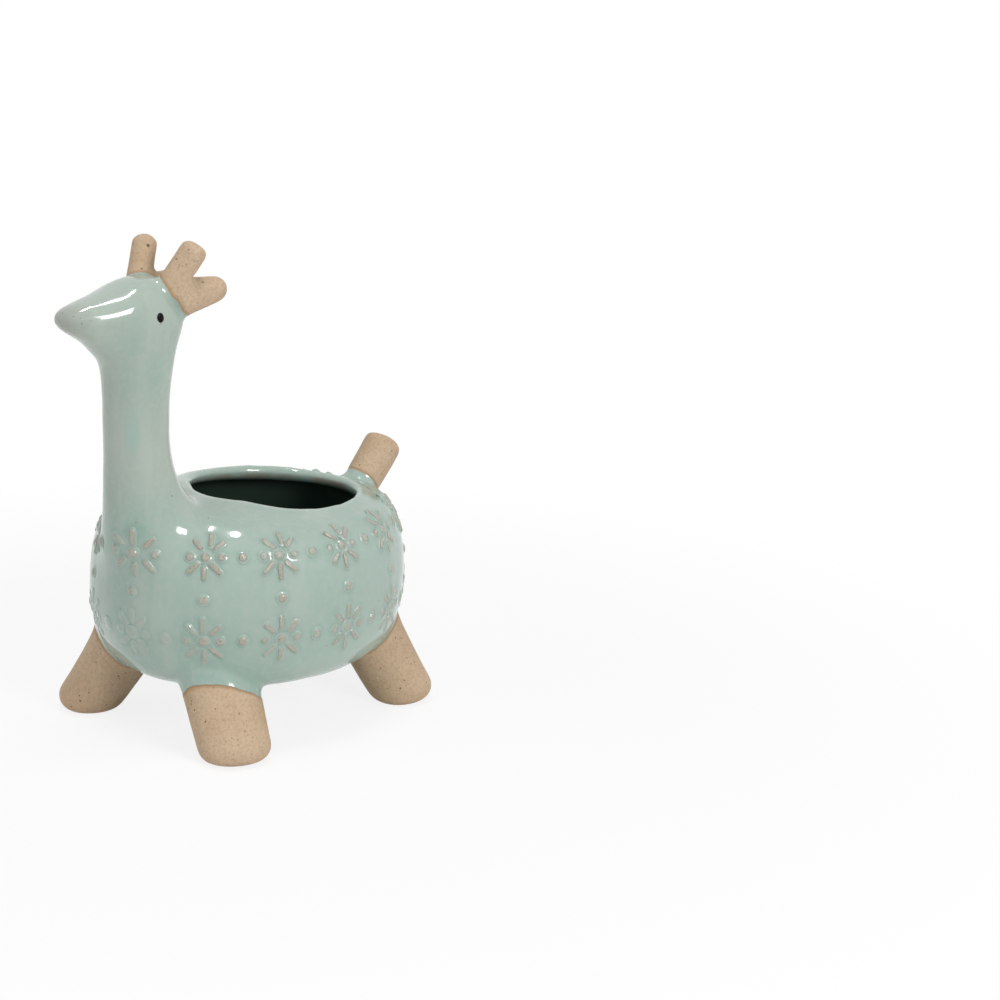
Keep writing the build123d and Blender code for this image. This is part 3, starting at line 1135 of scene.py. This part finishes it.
@dataclass
class Eyes:
    """Two black glaze dots, slightly taller than wide."""

    nodes: dict[str, bpy.types.Object]
    width: float = 3.3 * MM
    height: float = 3.6 * MM
    bulge: float = 0.65 * MM
    segments: int = 32
    rings: int = 16

    def build(self, body: bpy.types.Object, finish: bpy.types.Material) -> None:
        """Set both eyes on the head.

        Args:
            body: the glazed body.
            finish: the eyes' material.
        """
        skin = Bench.tree(body)
        for side in ("left", "right"):
            low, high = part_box("eye_" + side)
            middle = (Vector(low) + Vector(high)) / 2
            spot, normal, _, _ = skin.find_nearest(middle)
            up = (Vector((0, 0, 1)) - normal * normal.z).normalized()
            turn = Matrix((up.cross(normal), up, normal)).transposed().to_4x4()
            bpy.ops.object.select_all(action="DESELECT")
            bpy.ops.mesh.primitive_uv_sphere_add(segments=self.segments, ring_count=self.rings, radius=0.5)
            eye = bpy.context.view_layer.objects.active
            eye.name = "eye_dot_" + side
            size = Matrix.Diagonal((self.width, self.height, 2 * self.bulge, 1.0))
            eye.data.transform(Matrix.Translation(spot) @ turn @ size)
            bpy.ops.object.shade_smooth()
            eye.data.materials.append(finish)
            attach(eye, "root")
            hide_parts("eye_" + side)
            LOG.info("%s", eye.name)


class Shine(Enum):
    """What a lamp does: light the planter softly, or only glint in its glaze."""

    SOFT = "soft"
    GLINT = "glint"


@dataclass(frozen=True)
class Lamp:
    """One rectangular lamp: its place round the planter, width and height, watts and use."""

    name: str
    azimuth: float
    elevation: float
    distance: float
    size: tuple[float, float]
    power: float
    shine: Shine


@dataclass
class Studio:
    """Pale floor, soft lamps and a camera at the photograph's viewing angle."""

    azimuth: float = 47.0
    elevation: float = 17.0
    distance: float = 1.0
    aim_height: float = 0.050
    lens_px: float = 2510.0
    frame_px: float = 1000.0
    aim_px: tuple[float, float] = (249.0, 585.0)
    sky: float = 0.32
    floor: Colour = (0.90, 0.90, 0.90)
    white_near: float = 0.84
    white_from: tuple[float, float] = (0.15, 0.40)
    floor_size: float = 12.0
    sensor_mm: float = 36.0
    lamp_aim: float = 0.09
    lamps: tuple[Lamp, ...] = (
        Lamp("window_above", 47.0, 84.0, 1.45, (0.42, 0.42), 7.2, Shine.SOFT),
        Lamp("window_side", 82.0, 25.0, 1.45, (0.30, 0.44), 7.8, Shine.SOFT),
        Lamp("fill", -30.0, 25.0, 1.4, (1.1, 1.1), 3.4, Shine.SOFT),
        Lamp("pane_above", -138.0, 76.5, 1.45, (0.07, 0.26), 5.0, Shine.GLINT),
        Lamp("pane_side", 92.0, 41.0, 1.45, (0.30, 0.52), 13.0, Shine.GLINT),
    )

    def camera(self) -> None:
        """Stand the camera where the photograph's was, turned so the planter sits left of the middle."""
        low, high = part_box("bowl")
        aim = Vector(((low[0] + high[0]) / 2, (low[1] + high[1]) / 2, self.aim_height))
        back = self.around(self.azimuth, self.elevation, 1.0)
        data = bpy.data.cameras.new("camera")
        data.sensor_width = self.sensor_mm
        data.lens = data.sensor_width * self.lens_px / self.frame_px
        camera = bpy.data.objects.new("camera", data)
        bpy.context.scene.collection.objects.link(camera)
        half = self.frame_px / 2
        pan = Quaternion((0, 1, 0), -math.atan((half - self.aim_px[0]) / self.lens_px))
        tilt = Quaternion((1, 0, 0), math.atan((self.aim_px[1] - half) / self.lens_px))
        camera.rotation_mode = "QUATERNION"
        camera.rotation_quaternion = (-back).to_track_quat("-Z", "Y") @ pan @ tilt
        camera.location = aim + back * self.distance
        bpy.context.scene.camera = camera

    @staticmethod
    def around(azimuth: float, elevation: float, distance: float) -> Vector:
        """Place round the planter, by degrees from its front towards its left, and up."""
        turn, rise = math.radians(azimuth), math.radians(elevation)
        level = math.cos(rise) * distance
        return Vector((math.sin(turn) * level, -math.cos(turn) * level, math.sin(rise) * distance))

    def hang(self, lamp: Lamp) -> None:
        """Hang one lamp so that it faces the planter.

        Args:
            lamp: the lamp.
        """
        data = bpy.data.lights.new(lamp.name, "AREA")
        data.shape = "RECTANGLE"
        data.size, data.size_y = lamp.size
        data.energy = lamp.power
        made = bpy.data.objects.new(lamp.name, data)
        bpy.context.scene.collection.objects.link(made)
        place = self.around(lamp.azimuth, lamp.elevation, lamp.distance)
        made.location = place
        aim = Vector((0.0, 0.0, self.lamp_aim))
        made.rotation_euler = (aim - place).to_track_quat("-Z", "Y").to_euler()
        made.visible_glossy = lamp.shine is Shine.GLINT
        made.visible_diffuse = lamp.shine is Shine.SOFT
        made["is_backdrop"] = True

    @staticmethod
    def seen(tree: bpy.types.NodeTree) -> bpy.types.NodeSocket:
        """1 on rays that the eye, a gloss or a glass sends, and 0 on rays that carry light.

        Args:
            tree: the node tree to add to.

        Returns:
            The mask's socket.
        """
        path = tree.nodes.new("ShaderNodeLightPath")
        total = path.outputs["Is Camera Ray"]
        for name in ("Is Glossy Ray", "Is Transmission Ray"):
            add = tree.nodes.new("ShaderNodeMath")
            add.operation = "MAXIMUM"
            tree.links.new(total, add.inputs[0])
            tree.links.new(path.outputs[name], add.inputs[1])
            total = add.outputs[0]
        return total

    def world(self) -> None:
        """White surroundings to the eye and in reflections, and softer light from them."""
        world = bpy.data.worlds.new("studio")
        bpy.context.scene.world = world
        world.use_nodes = True
        tree = world.node_tree
        back = tree.nodes["Background"]
        back.inputs["Color"].default_value = (1.0, 1.0, 1.0, 1.0)
        reach = tree.nodes.new("ShaderNodeMapRange")
        tree.links.new(self.seen(tree), reach.inputs["Value"])
        reach.inputs["To Min"].default_value = self.sky
        reach.inputs["To Max"].default_value = 1.0
        tree.links.new(reach.outputs[0], back.inputs["Strength"])

    def ground(self) -> None:
        """Lay the pale floor: it takes the planter's shadow, and turns plain white farther out."""
        bpy.ops.object.select_all(action="DESELECT")
        bpy.ops.mesh.primitive_plane_add(size=self.floor_size)
        floor = bpy.context.view_layer.objects.active
        floor.name = "floor"
        g = Graph("floor")
        far = g.node("ShaderNodeVectorMath", {"operation": "LENGTH"}, {0: g.place}, "Value")
        white = g.ramp(far, *self.white_from) * (1.0 - self.white_near) + self.white_near
        plain = g.node("ShaderNodeBsdfDiffuse", {}, {"Color": (*self.floor, 1.0)})
        glow = g.node("ShaderNodeEmission", {}, {"Color": (1.0, 1.0, 1.0, 1.0), "Strength": 1.0})
        share = white * Socket(g, self.seen(g.tree))
        mixed = g.node("ShaderNodeMixShader", {}, {0: share, 1: plain, 2: glow})
        g.node("ShaderNodeOutputMaterial", {}, {"Surface": mixed}, None)
        floor.data.materials.append(g.material)
        floor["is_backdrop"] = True

    def build(self) -> None:
        """Set up the whole studio."""
        bpy.context.scene.view_settings.view_transform = "Standard"
        self.camera()
        self.world()
        self.ground()
        for lamp in self.lamps:
            self.hang(lamp)


def corners(bounds: tuple[Vector, Vector]) -> list[list[float]]:
    """A box's two corners as plain lists."""
    return [[float(x) for x in corner] for corner in bounds]


def main() -> None:
    """Build the planter's looks on the frame."""
    logging.basicConfig(level=logging.INFO, format="%(message)s")
    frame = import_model()
    bpy.ops.object.select_all(action="DESELECT")
    cad_box = corners(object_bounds())
    nodes = frame["nodes"]
    sprigs = Sprigs(nodes)
    body = FiredForm(nodes, cad_box).build(sprigs.tree(), Stoneware().material())
    sprigs.build(body, SprigGlaze().material())
    Eyes(nodes).build(body, EyeGlaze().material())
    Studio().build()


if __name__ == "__main__":
    main()
